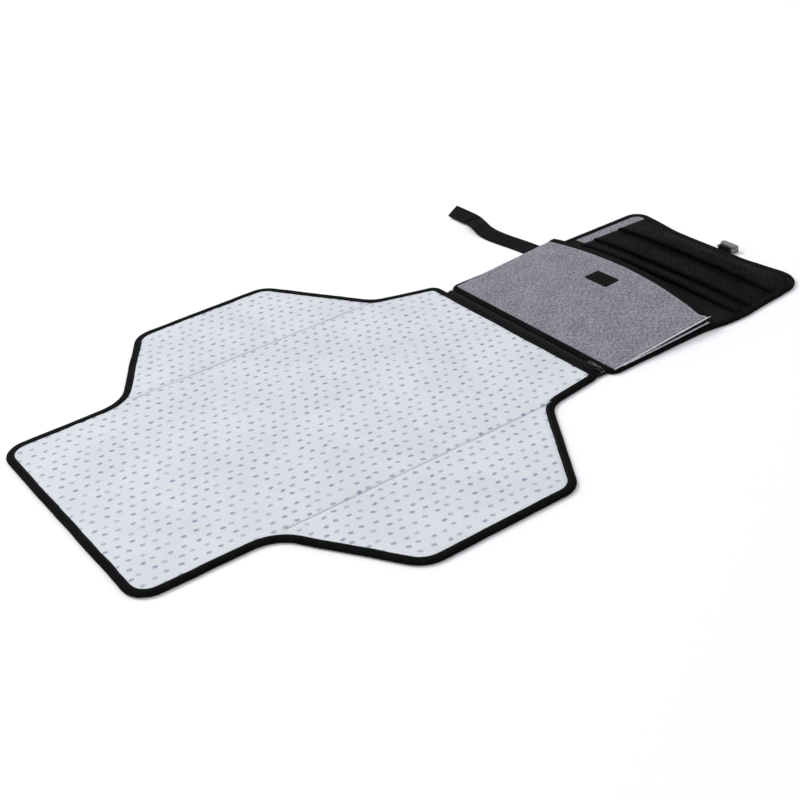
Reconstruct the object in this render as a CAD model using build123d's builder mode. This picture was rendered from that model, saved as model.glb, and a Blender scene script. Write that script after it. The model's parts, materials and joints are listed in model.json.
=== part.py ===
from build123d import *
import os

# A travel changing pad, lying open and flat: a padded mat with two side wings,
# joined by a zipper to a fold-over clutch with a front pocket and a flap of mesh
# pockets. Millimetres. The origin is the centre of the mat's underside. +X runs
# from the foot end towards the clutch, +Y to the side with the strap, +Z up.

os.makedirs("parts", exist_ok=True)

# ---- layers of every sewn panel ------------------------------------------------
tape = 0.4            # binding tape, top and bottom
skin = 0.4            # cover, lining, backing and shell fabric
padding = 2.8         # foam or board between the fabrics
panel = 2 * tape + 2 * skin + padding
binding_width = 8.5   # how far the binding reaches in from the edge
binding_wall = 0.6
hinge_gap = 0.5       # between two panels that fold against each other
layer_gap = 1.0       # between layers of the folded stack

# ---- mat -----------------------------------------------------------------------
mat_length = 517.5
mat_half = 154
wing_reach = 276      # half the width over both wings
wing_seam = 151       # where the wings fold, from the middle line
foot_edge = -mat_length / 2
head_edge = mat_length / 2
fold_one = foot_edge + 135
fold_two = (fold_one + head_edge) / 2
wing_foot_notch = foot_edge + 133
wing_foot_tip = foot_edge + 209
wing_head_tip = foot_edge + 374
wing_head_notch = foot_edge + 447
wing_hinge_end = foot_edge + 452.5
head_near = -145      # the head end narrows to the width of the clutch
head_far = 130

# ---- clutch --------------------------------------------------------------------
joint_line = head_edge + 0.5
zip_middle = joint_line + 4.15
clutch_start = joint_line + 8
flap_hinge = joint_line + 179
flap_end = flap_hinge + 115
flap_bow = 8          # the flap's end edge is drawn in by this much in its middle
clutch_near = -152
clutch_far = 118
flap_drift = -3       # the flap lies a little off the line of the base

# ---- front pocket and mesh pockets ---------------------------------------------
panel_top = panel - tape
pocket_start = clutch_start + binding_width - 1.5
pocket_top = 20.2
pocket_cloth = 1.2
pocket_rise = 4
pocket_near = clutch_near + 3
pocket_far = clutch_far - 6
mouth_near = flap_hinge - 27
mouth_middle = flap_hinge - 14
mouth_far = flap_hinge - 19
mouth_tape = 0.8
mouth_tape_width = 8
mesh_cloth = 0.8
mesh_near = clutch_near + 6
mesh_far = clutch_far - 26
mesh_tiers = [(4, 22, 11.8), (24, 61, 12.4), (63, 98, 12.4)]
hem_width = 6
hem_cloth = 0.8
flap_top = 14.6       # highest point of the flap with its pockets

# ---- heights of the fold lines, so that the layers come to lie on each other ---
wing_axis = panel + layer_gap / 2
wing_stack = 2 * wing_axis
fold_one_axis = (wing_stack + layer_gap + panel) / 2
pocket_stack = pocket_top + mouth_tape
fold_two_axis = (pocket_stack + layer_gap + panel) / 2  # the foot panel clears the pocket
mat_stack = 2 * fold_two_axis
joint_axis = (pocket_stack + layer_gap + mat_stack) / 2
packed_stack = 2 * joint_axis
flap_axis = (packed_stack + layer_gap + flap_top) / 2
closed_height = 2 * flap_axis

# ---- strap ---------------------------------------------------------------------
strap_width = 25
strap_thickness = 2
strap_middle = flap_hinge - 40
strap_patch = 1
strap_bend = 6        # height of both fold lines of the strap
strap_fold_one = 160
strap_climb = closed_height + layer_gap - 2 * strap_bend + strap_thickness + strap_patch
strap_fold_two = strap_fold_one + strap_climb
strap_tip = 298

# ---- zipper --------------------------------------------------------------------
zip_near = clutch_near + 8
zip_far = clutch_far - 8
zip_tape = 0.5
zip_tape_bottom = 2.0
coil_height = 1.6
coil_gap = 0.45       # half the space between the two rows of coil
coil_width = 1.9
slider_length = 9
slider_start = zip_near + 4.2
slider_plate = 1.0
slider_half = 3.3
slider_clear = 0.3
pin_radius = 0.6
pull_length = 13
pull_half = 2.2

# ---- buckle --------------------------------------------------------------------
buckle_middle = -34
buckle_half = 12
buckle_bar = flap_end - flap_bow + 4.3
buckle_bar_radius = 1.2
buckle_thickness = 8
buckle_height = buckle_thickness / 2
buckle_body_start = buckle_bar + 2.9
buckle_body_end = buckle_body_start + 7.2
buckle_wall = 1.7
buckle_tab_half = 8.2
tab_cloth = 1.0
far_away = 900
near_ward = (0, -1, 0)


def save(piece, name):
    """Label a finished piece and write it."""
    piece.part.label = name
    export_step(piece.part, f"parts/{name}.step")


def mat_outline(inset):
    """The mat seen from above, drawn in by inset."""
    corners = [
        ((foot_edge, -mat_half), 25),
        ((wing_foot_notch, -mat_half), 40),
        ((wing_foot_tip, -wing_reach), 32),
        ((wing_head_tip, -wing_reach), 26),
        ((wing_head_notch, -mat_half), 30),
        ((head_edge, head_near), 4),
        ((head_edge, head_far), 4),
        ((wing_head_notch, mat_half), 30),
        ((wing_head_tip, wing_reach), 26),
        ((wing_foot_tip, wing_reach), 32),
        ((wing_foot_notch, mat_half), 40),
        ((foot_edge, mat_half), 25),
    ]
    return rounded_outline(corners, inset)


def clutch_outline(inset):
    """Clutch base and flap seen from above, drawn in by inset."""
    corners = [
        ((clutch_start, clutch_near), 10),
        ((flap_hinge - 42, clutch_near), 60),
        ((flap_hinge - 12, clutch_near - 5.4), 40),
        ((flap_hinge + 14, clutch_near - 6), 60),
        ((flap_end + 1.2, clutch_near + 4), 30),
        ((flap_end - flap_bow, clutch_near + 85), 150),
        ((flap_end - flap_bow, clutch_far - 84), 150),
        ((flap_end + 3, clutch_far + flap_drift), 18),
        ((flap_hinge, clutch_far + flap_drift + 1), 60),
        ((clutch_start, clutch_far), 10),
    ]
    return rounded_outline(corners, inset)


def rounded_outline(corners, inset):
    """A closed outline through the corners, each with its own radius."""
    points = [point for point, radius in corners]
    radii = [radius for point, radius in corners]
    with BuildSketch() as outline:
        with BuildLine():
            FilletPolyline(*points, radius=radii, close=True)
        make_face()
        if inset:
            offset(amount=-inset)
    return outline.sketch


def cut_to(face, regions):
    """The part of a face that lies in any of the regions (x low, x high, y low, y high)."""
    with BuildSketch() as piece:
        for x_low, x_high, y_low, y_high in regions:
            with Locations(((x_low + x_high) / 2, (y_low + y_high) / 2)):
                Rectangle(x_high - x_low, y_high - y_low)
        add(face, mode=Mode.INTERSECT)
    return piece.sketch


def layer(face, bottom, top):
    """A flat layer between two heights."""
    with BuildPart() as sheet:
        with BuildSketch(Plane.XY.offset(bottom)):
            add(face)
        extrude(amount=top - bottom)
    return sheet


def make_panel(prefix, outline, regions, names=("cover", "foam", "backing"), bound=True):
    """A sewn panel: top fabric, padding, bottom fabric and the binding round its edge."""
    outer = cut_to(outline(0), regions)
    core = cut_to(outline(binding_wall), regions) if bound else outer
    save(layer(core, panel_top - skin, panel_top), f"{prefix}_{names[0]}")
    save(layer(core, tape + skin, tape + skin + padding), f"{prefix}_{names[1]}")
    if not bound:
        save(layer(core, 0, tape + skin), f"{prefix}_{names[2]}")
        return
    window = cut_to(outline(binding_width), regions)
    with BuildPart() as under:
        with BuildSketch(Plane.XY.offset(tape)):
            add(core)
        extrude(amount=skin)
        with BuildSketch():
            add(window)
        extrude(amount=tape)
    save(under, f"{prefix}_{names[2]}")
    with BuildPart() as binding:
        with BuildSketch():
            add(outer)
        extrude(amount=panel)
        with BuildSketch(Plane.XY.offset(tape)):
            add(core)
        extrude(amount=panel - 2 * tape, mode=Mode.SUBTRACT)
        with BuildSketch():
            add(window)
        extrude(amount=panel, mode=Mode.SUBTRACT)
    save(binding, f"{prefix}_binding")


# ---- the mat's seven panels ------------------------------------------------------
half_gap = hinge_gap / 2
before_one = fold_one - half_gap
after_one = fold_one + half_gap
before_two = fold_two - half_gap
after_two = fold_two + half_gap
inside_seam = wing_seam - half_gap
outside_seam = wing_seam + half_gap

make_panel("foot", mat_outline, [(-far_away, before_one, -far_away, far_away)])
make_panel("middle", mat_outline, [(after_one, before_two, -inside_seam, inside_seam)], bound=False)
make_panel("head", mat_outline, [
    (after_two, far_away, -inside_seam, inside_seam),
    (wing_hinge_end + hinge_gap, far_away, -far_away, far_away),
])
for side, y_low, y_high in (("near", -far_away, -outside_seam), ("far", outside_seam, far_away)):
    make_panel(f"{side}_wing_middle", mat_outline, [(after_one, before_two, y_low, y_high)])
    make_panel(f"{side}_wing_head", mat_outline, [(after_two, wing_hinge_end, y_low, y_high)])

# ---- clutch base and flap ---------------------------------------------------------
clutch_layers = ("lining", "board", "shell")
base_region = [(-far_away, flap_hinge - half_gap, -far_away, far_away)]
flap_region = [(flap_hinge + half_gap, far_away, -far_away, far_away)]
make_panel("base", clutch_outline, base_region, clutch_layers)
make_panel("flap", clutch_outline, flap_region, clutch_layers)


def arch(start, end, rise):
    """Centre and radius of the arc from start to end that stands rise above their chord."""
    span = Vector(*end) - Vector(*start)
    half = span.length / 2
    radius = (half**2 + rise**2) / (2 * rise)
    down = Vector(span.Y, -span.X) / span.length
    centre = (Vector(*start) + Vector(*end)) / 2 + down * (radius - rise)
    return centre, radius


def arched_face(centre, outer, inner, x_low, x_high, y_high):
    """Side view of a bowed sheet between two radii, standing on the binding, at y_high."""
    tall = 40
    with BuildSketch(Plane.XZ.offset(-y_high)) as face:
        with Locations((centre.X, centre.Y)):
            Circle(outer)
            if inner:
                Circle(inner, mode=Mode.SUBTRACT)
        with Locations(((x_low + x_high) / 2, panel + tall / 2)):
            Rectangle(x_high - x_low, tall, mode=Mode.INTERSECT)
    return face.sketch


def mouth_region(inner_shift, outer_shift):
    """Plan view of a band along the bowed mouth of the front pocket."""
    edges = []
    for shift in (inner_shift, outer_shift):
        edges.append([
            (mouth_near + shift, pocket_near),
            (mouth_middle + shift, (pocket_near + pocket_far) / 2),
            (mouth_far + shift, pocket_far),
        ])
    with BuildSketch() as band:
        with BuildLine():
            ThreePointArc(*edges[0])
            ThreePointArc(*edges[1])
            Line(edges[0][0], edges[1][0])
            Line(edges[0][2], edges[1][2])
        make_face()
    return band.sketch


# ---- front pocket of the base -----------------------------------------------------
pocket_centre, pocket_radius = arch(
    (pocket_start, panel), (mouth_middle, pocket_top), pocket_rise)
pocket_inner = pocket_radius - pocket_cloth
pocket_span = pocket_far - pocket_near
mouth_limit = mouth_middle + 4
tall_cut = 60

with BuildPart() as pocket_front:
    add(arched_face(pocket_centre, pocket_radius, pocket_inner, pocket_start, mouth_limit, pocket_far))
    extrude(amount=pocket_span, dir=near_ward)
    with BuildSketch():
        add(mouth_region(0, 40))
    extrude(amount=tall_cut, both=True, mode=Mode.SUBTRACT)
save(pocket_front, "pocket_front")

with BuildPart() as pocket_mouth_binding:
    add(arched_face(
        pocket_centre, pocket_radius + mouth_tape, pocket_radius, pocket_start, mouth_limit, pocket_far))
    extrude(amount=pocket_span, dir=near_ward)
    with BuildSketch():
        add(mouth_region(-mouth_tape_width, 0))
    extrude(amount=tall_cut, both=True, mode=Mode.INTERSECT)
save(pocket_mouth_binding, "pocket_mouth_binding")

gusset_cloth = 0.8
gusset_end = mouth_near - 3
for side, y_high in (("near", pocket_near + gusset_cloth), ("far", pocket_far)):
    with BuildPart() as gusset:
        add(arched_face(pocket_centre, pocket_inner, 0, pocket_start + 4, gusset_end, y_high))
        extrude(amount=gusset_cloth, dir=near_ward)
    save(gusset, f"pocket_gusset_{side}")

inner_pocket_end = mouth_near - 6
with BuildPart() as inner_pocket:
    inner_far = pocket_far - gusset_cloth - 0.2
    inner_near = pocket_near + gusset_cloth + 0.2
    with BuildSketch(Plane.XY.offset(panel)):
        with Locations(((pocket_start + 10 + inner_pocket_end) / 2, (inner_far + inner_near) / 2)):
            Rectangle(inner_pocket_end - pocket_start - 10, inner_far - inner_near)
    extrude(amount=2 * skin)
save(inner_pocket, "inner_pocket")

patch_middle = (flap_hinge - 55, -14)
patch_size = (20, 40)
patch_height = 0.9
with BuildPart() as closure_patch:
    add(arched_face(
        pocket_centre, pocket_radius + patch_height, pocket_radius, pocket_start, mouth_limit, pocket_far))
    extrude(amount=pocket_span, dir=near_ward)
    with BuildSketch():
        with Locations(patch_middle):
            RectangleRounded(*patch_size, radius=2)
    extrude(amount=tall_cut, both=True, mode=Mode.INTERSECT)
save(closure_patch, "closure_patch")

# ---- mesh pockets of the flap -----------------------------------------------------
mesh_span = mesh_far - mesh_near
mesh_rise = 0.07      # bow of the mesh, as a share of the pocket's depth
tier_arcs = []
for number, (mouth, closed, height) in enumerate(mesh_tiers, 1):
    x_mouth = flap_hinge + mouth
    x_closed = flap_hinge + closed
    centre, radius = arch((x_mouth, height), (x_closed, panel), mesh_rise * (closed - mouth))
    tier_arcs.append((centre, radius, x_mouth))
    with BuildPart() as mesh_pocket:
        add(arched_face(centre, radius, radius - mesh_cloth, x_mouth, x_closed, mesh_far))
        extrude(amount=mesh_span, dir=near_ward)
        for y_high in (mesh_far, mesh_near + mesh_cloth):
            add(arched_face(centre, radius, 0, x_mouth, x_closed, y_high))
            extrude(amount=mesh_cloth, dir=near_ward)
    save(mesh_pocket, f"mesh_pocket_{number}")

with BuildPart() as mesh_hems:
    for centre, radius, x_mouth in tier_arcs:
        add(arched_face(centre, radius + hem_cloth, radius, x_mouth, x_mouth + hem_width, mesh_far))
        extrude(amount=mesh_span, dir=near_ward)
save(mesh_hems, "mesh_hems")

# ---- zipper between mat and clutch ------------------------------------------------
zip_length = zip_far - zip_near
zip_centre_y = (zip_far + zip_near) / 2
coil_bottom = zip_tape_bottom + zip_tape
coil_top = coil_bottom + coil_height
tape_edges = {
    "mat": (joint_line + 0.3, zip_middle - coil_gap),
    "clutch": (zip_middle + coil_gap, clutch_start),
}
for side, (x_low, x_high) in tape_edges.items():
    with BuildPart() as zip_strip:
        with BuildSketch(Plane.XY.offset(zip_tape_bottom)):
            with Locations(((x_low + x_high) / 2, zip_centre_y)):
                Rectangle(x_high - x_low, zip_length)
        extrude(amount=zip_tape)
    save(zip_strip, f"zipper_tape_{side}")

coil_middle = coil_gap + coil_width / 2
for side, x_middle in (("mat", zip_middle - coil_middle), ("clutch", zip_middle + coil_middle)):
    with BuildPart() as coil:
        with BuildSketch(Plane.XY.offset(coil_bottom)):
            with Locations((x_middle, zip_centre_y)):
                Rectangle(coil_width, zip_length - 8)
        extrude(amount=coil_height)
        chamfer(coil.faces().sort_by(Axis.Z)[-1].edges().filter_by(Axis.Y), 0.4)
    save(coil, f"zipper_coil_{side}")

with BuildPart() as zipper_stops:
    with BuildSketch(Plane.XY.offset(coil_bottom)):
        for y_stop in (zip_near + 2.2, zip_far - 2.2):
            with Locations((zip_middle - coil_middle, y_stop)):
                Rectangle(coil_width, 3)
            with Locations((zip_middle + coil_middle, y_stop)):
                Rectangle(coil_width, 3)
    extrude(amount=coil_height + 0.3)
save(zipper_stops, "zipper_stops")

slider_bottom = zip_tape_bottom - slider_clear - slider_plate
slider_top = coil_top + slider_clear + slider_plate
slider_middle = slider_start + slider_length / 2
pin_height = slider_top + pin_radius + 0.9
pin_y = slider_start + 2.2
lug_half = 1.1
with BuildPart() as zipper_slider:
    with BuildSketch(Plane.XY.offset(slider_bottom)):
        with Locations((zip_middle, slider_middle)):
            RectangleRounded(2 * slider_half, slider_length, radius=1.5)
    extrude(amount=slider_plate)
    with BuildSketch(Plane.XY.offset(slider_top - slider_plate)):
        with Locations((zip_middle, slider_middle)):
            RectangleRounded(2 * slider_half, slider_length, radius=1.5)
    extrude(amount=slider_plate)
    post_length = 3
    with BuildSketch(Plane.XY.offset(slider_bottom)):
        with Locations((zip_middle, slider_middle)):
            Rectangle(0.5, post_length)
    extrude(amount=slider_top - slider_bottom)
    lip = 0.6
    with BuildSketch(Plane.XY.offset(coil_bottom + slider_clear)):
        with Locations((zip_middle - slider_half + lip / 2, slider_middle),
                       (zip_middle + slider_half - lip / 2, slider_middle)):
            Rectangle(lip, slider_length - 3)
    extrude(amount=slider_top - slider_plate - coil_bottom - slider_clear)
    with BuildSketch(Plane.XY.offset(slider_top)):
        with Locations((zip_middle - lug_half - 0.5, pin_y), (zip_middle + lug_half + 0.5, pin_y)):
            Rectangle(1.0, 2.4)
    extrude(amount=pin_height + pin_radius - slider_top)
    with BuildSketch(Plane.YZ.offset(zip_middle - lug_half - 0.5)):
        with Locations((pin_y, pin_height)):
            Circle(pin_radius)
    extrude(amount=2 * lug_half + 1)
save(zipper_slider, "zipper_slider")

pull_thickness = 1.0
pull_hole = pin_radius + 0.1
with BuildPart() as zipper_pull:
    with BuildSketch(Plane.YZ.offset(zip_middle - lug_half + 0.15)) as knuckle:
        with Locations((pin_y, pin_height)):
            Circle(pull_hole + 0.6)
        with Locations((pin_y + 2, pin_height)):
            Rectangle(4, pull_thickness)
        with Locations((pin_y, pin_height)):
            Circle(pull_hole, mode=Mode.SUBTRACT)
    extrude(amount=2 * lug_half - 0.3)
    with BuildSketch(Plane.XY.offset(pin_height - pull_thickness / 2)):
        with Locations((zip_middle, pin_y + 3 + pull_length / 2)):
            RectangleRounded(2 * pull_half, pull_length, radius=1.2)
        with Locations((zip_middle, pin_y + pull_length - 1)):
            SlotOverall(5, 1.8, rotation=90, mode=Mode.SUBTRACT)
    extrude(amount=pull_thickness)
save(zipper_pull, "zipper_pull")


# ---- side strap -------------------------------------------------------------------
def strap_length(name, y_low, y_high, bottom=0, top=strap_thickness, width=strap_width):
    """One flat length of the strap, or of what is sewn on it."""
    with BuildPart() as webbing:
        with BuildSketch(Plane.XY.offset(bottom)):
            with Locations((strap_middle, (y_low + y_high) / 2)):
                Rectangle(width, y_high - y_low)
        extrude(amount=top - bottom)
    save(webbing, name)


strap_length("strap_root", clutch_far + 0.5, strap_fold_one - half_gap)
strap_length("strap_rise", strap_fold_one + half_gap, strap_fold_two - half_gap)
strap_length("strap_end", strap_fold_two + half_gap, strap_tip)
strap_length(
    "strap_hook_patch", strap_tip - 50, strap_tip - 8,
    strap_thickness, strap_thickness + strap_patch, strap_width - 5)

# ---- buckle at the end of the flap ------------------------------------------------
tab_ring = buckle_bar_radius + slider_clear
tab_sewn = flap_end - flap_bow + 0.05
with BuildPart() as buckle_tab:
    tab_start = Plane.XZ.offset(-(buckle_middle + buckle_tab_half))
    with BuildSketch(tab_start):
        with Locations(((tab_sewn + buckle_bar) / 2, panel / 2 + 1)):
            Rectangle(buckle_bar - tab_sewn, 2 * tab_cloth)
        with Locations((buckle_bar, buckle_height)):
            Circle(tab_ring + tab_cloth)
        with Locations((buckle_bar, buckle_height)):
            Circle(tab_ring, mode=Mode.SUBTRACT)
    extrude(amount=2 * buckle_tab_half)
save(buckle_tab, "buckle_tab")

arm_inside = buckle_tab_half + 0.7
body_length = buckle_body_end - buckle_body_start
body_middle = (buckle_body_start + buckle_body_end) / 2
with BuildPart() as buckle_socket:
    with BuildSketch():
        with Locations((body_middle, buckle_middle)):
            RectangleRounded(body_length, 2 * buckle_half, radius=3)
    extrude(amount=buckle_thickness)
    fillet(buckle_socket.faces().sort_by(Axis.Z)[-1].edges(), 1.2)
    fillet(buckle_socket.faces().sort_by(Axis.Z)[0].edges(), 1.2)
    arm_length = buckle_body_start + 3 - (buckle_bar - buckle_bar_radius)
    arm_width = buckle_half - arm_inside - 0.6
    with BuildSketch(Plane.XY.offset(buckle_height - 1.6)):
        arm_y = arm_inside + arm_width / 2
        arm_x = buckle_bar - buckle_bar_radius + arm_length / 2
        with Locations((arm_x, buckle_middle - arm_y), (arm_x, buckle_middle + arm_y)):
            Rectangle(arm_length, arm_width)
    extrude(amount=3.2)
    with BuildSketch(Plane.XZ.offset(-(buckle_middle + arm_inside + 1))):
        with Locations((buckle_bar, buckle_height)):
            Circle(buckle_bar_radius)
    extrude(amount=2 * arm_inside + 2)
    mouth_depth = body_length - 2
    with BuildSketch(Plane.YZ.offset(buckle_body_end)):
        with Locations((buckle_middle, buckle_height)):
            RectangleRounded(
                2 * (buckle_half - buckle_wall), buckle_thickness - 2 * buckle_wall, radius=1.5)
    extrude(amount=-mouth_depth, mode=Mode.SUBTRACT)
    with BuildSketch(Plane.XZ.offset(-(buckle_middle + buckle_half + 1))):
        with Locations((body_middle - 0.5, buckle_height)):
            SlotOverall(4.6, 3)
    extrude(amount=2 * buckle_half + 2, mode=Mode.SUBTRACT)
save(buckle_socket, "buckle_socket")
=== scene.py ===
import json
import math

import bmesh
import bpy
import numpy as np
from mathutils import Matrix, Vector, noise


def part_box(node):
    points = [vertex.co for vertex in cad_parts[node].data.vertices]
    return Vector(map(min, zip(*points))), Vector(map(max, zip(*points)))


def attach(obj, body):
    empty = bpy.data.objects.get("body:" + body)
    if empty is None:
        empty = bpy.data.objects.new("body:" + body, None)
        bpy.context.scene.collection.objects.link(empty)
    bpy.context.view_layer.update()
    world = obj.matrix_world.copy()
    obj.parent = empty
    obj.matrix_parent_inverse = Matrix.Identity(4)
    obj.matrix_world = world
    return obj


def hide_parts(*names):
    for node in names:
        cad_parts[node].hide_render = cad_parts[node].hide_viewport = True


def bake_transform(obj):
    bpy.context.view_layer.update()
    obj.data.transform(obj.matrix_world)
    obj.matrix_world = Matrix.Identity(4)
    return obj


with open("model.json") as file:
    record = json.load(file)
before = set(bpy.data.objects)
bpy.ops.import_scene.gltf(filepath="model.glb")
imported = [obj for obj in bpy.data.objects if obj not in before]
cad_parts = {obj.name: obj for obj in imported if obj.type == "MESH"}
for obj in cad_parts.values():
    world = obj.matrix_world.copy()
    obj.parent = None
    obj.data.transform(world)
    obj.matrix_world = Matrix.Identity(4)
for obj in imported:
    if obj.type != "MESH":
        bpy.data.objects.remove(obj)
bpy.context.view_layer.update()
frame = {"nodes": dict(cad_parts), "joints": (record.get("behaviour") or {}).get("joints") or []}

# A travel changing pad in fabric: printed wipe-clean cover, black binding tape, a grey heather
# front pocket, mesh pockets, zipper, webbing strap and buckle. Lengths in this script are
# millimetres in the frame of the CAD model, and MM turns them into metres when a mesh is made.
MM = 0.001
X, Y, Z = 0, 1, 2


def span(node, axis):
    """Lowest and highest coordinate of a CAD node along an axis."""
    return [corner[axis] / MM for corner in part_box(node)]


def low(node, axis):
    return span(node, axis)[0]


def high(node, axis):
    return span(node, axis)[1]


joint_at = {j["name"]: Vector(j["pos_m"]) / MM for j in frame["joints"] if "pos_m" in j}

# ---- sizes
foot_edge = low("foot_binding", X)
head_edge = high("head_binding", X)
mat_half = 154
wing_reach = high("far_wing_middle_binding", Y)
wing_seam = joint_at["far_wing_fold"][Y]
fold_one = joint_at["foot_fold"][X]
fold_two = joint_at["middle_fold"][X]
wing_end = high("near_wing_head_binding", X)
panel = high("foot_binding", Z)
wing_foot_notch = foot_edge + 133
wing_foot_tip = foot_edge + 209
wing_head_tip = foot_edge + 374
wing_head_notch = foot_edge + 447
head_near, head_far = -145, 130
strip = 8  # a cover reaches this far over a fold line, onto the next panel
hairline = 0.02  # half the slit between two panels
tape_width = 8.8  # binding tape, from the edge inwards
under_tape = 1.6  # pads end this far in from the edge, inside the tape
cover_top = 4.15
foam_bottom = 0.8
cell = 3.2  # size of a mesh cell on the pads
inner = wing_seam - strip
wing_bend = 3.5  # half the width of the band at a wing's seam, given to bending()
far_away = 1e4

clutch_start = low("base_binding", X)
flap_hinge = joint_at["flap_fold"][X]
flap_end = flap_hinge + 115
flap_bow = 8  # how far the flap's end edge is drawn in
clutch_near, clutch_far = -152, 118
spine = 10  # half the width of the strip between base and flap
flap_drift = -3
mesh_near, mesh_far = span("mesh_pocket_1", Y)


def wave(x, y, size, seed=0.0):
    """Smooth unevenness from -1 to 1 with bumps about size mm across."""
    return noise.noise(Vector((x / size, y / size, seed)))


def ease(value):
    """A smooth step from 0 to 1."""
    value = min(1.0, max(0.0, value))
    return value * value * (3 - 2 * value)


def lengths_along(points):
    """Distance of each point from the first, along the line."""
    return np.concatenate([[0], np.cumsum(np.linalg.norm(np.diff(points, axis=0), axis=1))])


def even(start, end, step):
    return np.linspace(start, end, max(2, int(math.ceil(abs(end - start) / step)) + 1))


def stepped(first, *rest):
    """Values from first on. rest is a step and the value it leads to, again and again."""
    values = [first]
    for step, end in zip(rest[::2], rest[1::2]):
        values.extend(even(values[-1], end, step)[1:])
    return np.array(values)


def circle(count):
    return np.arange(count) * math.tau / count


def unit(vector):
    return vector / np.linalg.norm(vector)


# ---- meshes
def place(name, data):
    """A new object in the scene."""
    made = bpy.data.objects.new(name, data)
    bpy.context.scene.collection.objects.link(made)
    return made


class Shape:
    """Points, faces, texture coordinates (metres along the cloth) and material numbers of one piece."""

    def __init__(self):
        self.points, self.faces, self.uvs, self.slots = [], [], [], []

    def add_points(self, points, uvs):
        self.points.extend(map(tuple, points))
        self.uvs.extend(map(tuple, uvs))

    def face(self, corners, slot=0):
        self.faces.append(tuple(corners))
        self.slots.append(slot)

    def slab(self, top, bottom, uv=None, mask=None, wall=0):
        """A closed sheet between two grids of points. Cells outside the mask are left out."""
        rows, columns = top.shape[:2]
        first = len(self.points)
        uv = top[:, :, :2] * MM if uv is None else uv
        for grid in (top, bottom):
            self.add_points(grid.reshape(-1, 3), uv.reshape(-1, 2))
        keep = np.zeros((rows + 1, columns + 1), bool)
        keep[1:-1, 1:-1] = True if mask is None else mask

        def at(corner, layer):
            return first + (layer * rows + corner[0]) * columns + corner[1]

        for i, j in np.argwhere(keep[1:, 1:]).tolist():
            ring = [(i, j), (i + 1, j), (i + 1, j + 1), (i, j + 1)]
            self.face([at(c, 0) for c in ring])
            self.face([at(c, 1) for c in reversed(ring)])
            for neighbour, a, b in (((i, j + 1), ring[3], ring[0]), ((i + 2, j + 1), ring[1], ring[2]),
                                    ((i + 1, j), ring[0], ring[1]), ((i + 1, j + 2), ring[2], ring[3])):
                if not keep[neighbour]:
                    self.face([at(b, 0), at(a, 0), at(a, 1), at(b, 1)], wall)
        return self

    def sweep(self, sections, along, slot=0):
        """A closed tube through rings of points. along is each ring's place along the cloth."""
        count = len(sections[0])
        first = len(self.points)
        for ring, where in zip(sections, along):
            self.add_points(ring, [(where * MM, a * MM) for a in lengths_along(ring)])
        last = len(self.points) - count
        for start in range(first, last, count):
            for j in range(count):
                k = (j + 1) % count
                self.face((start + j, start + k, start + count + k, start + count + j), slot)
        self.face(reversed(range(first, first + count)), slot)
        self.face(range(last, last + count), slot)
        return self

    def stitch_row(self, path, pitch=3.6, radius=0.27):
        """Thread stitches along a line of points, each sunk at both ends."""
        path = np.array(path, float)
        places = lengths_along(path)
        for n in range(int(places[-1] / pitch)):
            start, end = [np.array([np.interp((n + share) * pitch, places, path[:, k]) for k in (X, Y, Z)])
                          for share in (0.12, 0.88)]
            ahead = unit(end - start)
            aside = unit(np.cross(ahead, (0, 0, 1)))
            up = np.cross(aside, ahead)
            rings = []
            for share, size in ((0, 0.35), (0.18, 1), (0.82, 1), (1, 0.35)):
                centre = start + share * (end - start) + up * radius * (size - 1)
                rings.append(np.array([centre + radius * size * (math.cos(a) * aside + math.sin(a) * up)
                                       for a in circle(6)]))
            self.sweep(rings, [0, 0.5, 2, 2.5], slot=1)

    def stitch_box(self, start, end, steps, radius, on_surface):
        """Stitches round the box from start to end, whose places on_surface turns into points."""
        corners = np.array([start, (end[0], start[1]), end, (start[0], end[1])])
        for a, b in zip(corners, np.roll(corners, -1, 0)):
            self.stitch_row([on_surface(*(a + t * (b - a))) for t in np.linspace(0, 1, steps)], 2.6, radius)

    def paint(self, slot, chosen):
        """Gives a material number to the faces whose middle is chosen."""
        for index, corners in enumerate(self.faces):
            if chosen(np.mean([self.points[c] for c in corners], axis=0)):
                self.slots[index] = slot

    def make(self, name, materials):
        """The Blender object, smooth but for its sharp edges."""
        crease = math.radians(38)
        mesh = bpy.data.meshes.new(name)
        mesh.from_pydata([tuple(MM * v for v in point) for point in self.points], [], self.faces)
        flat = np.array([self.uvs[c] for f in self.faces for c in f], np.float32)
        mesh.uv_layers.new(name="cloth").data.foreach_set("uv", flat.ravel())
        for material in materials:
            mesh.materials.append(material)
        mesh.polygons.foreach_set("material_index", self.slots)
        build = bmesh.new()
        build.from_mesh(mesh)
        bmesh.ops.delete(build, geom=[v for v in build.verts if not v.link_faces], context="VERTS")
        bmesh.ops.recalc_face_normals(build, faces=build.faces)
        for face in build.faces:
            face.smooth = True
        for edge in build.edges:
            edge.smooth = edge.calc_face_angle(0) < crease
        build.to_mesh(mesh)
        build.free()
        return place(name, mesh)


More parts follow.
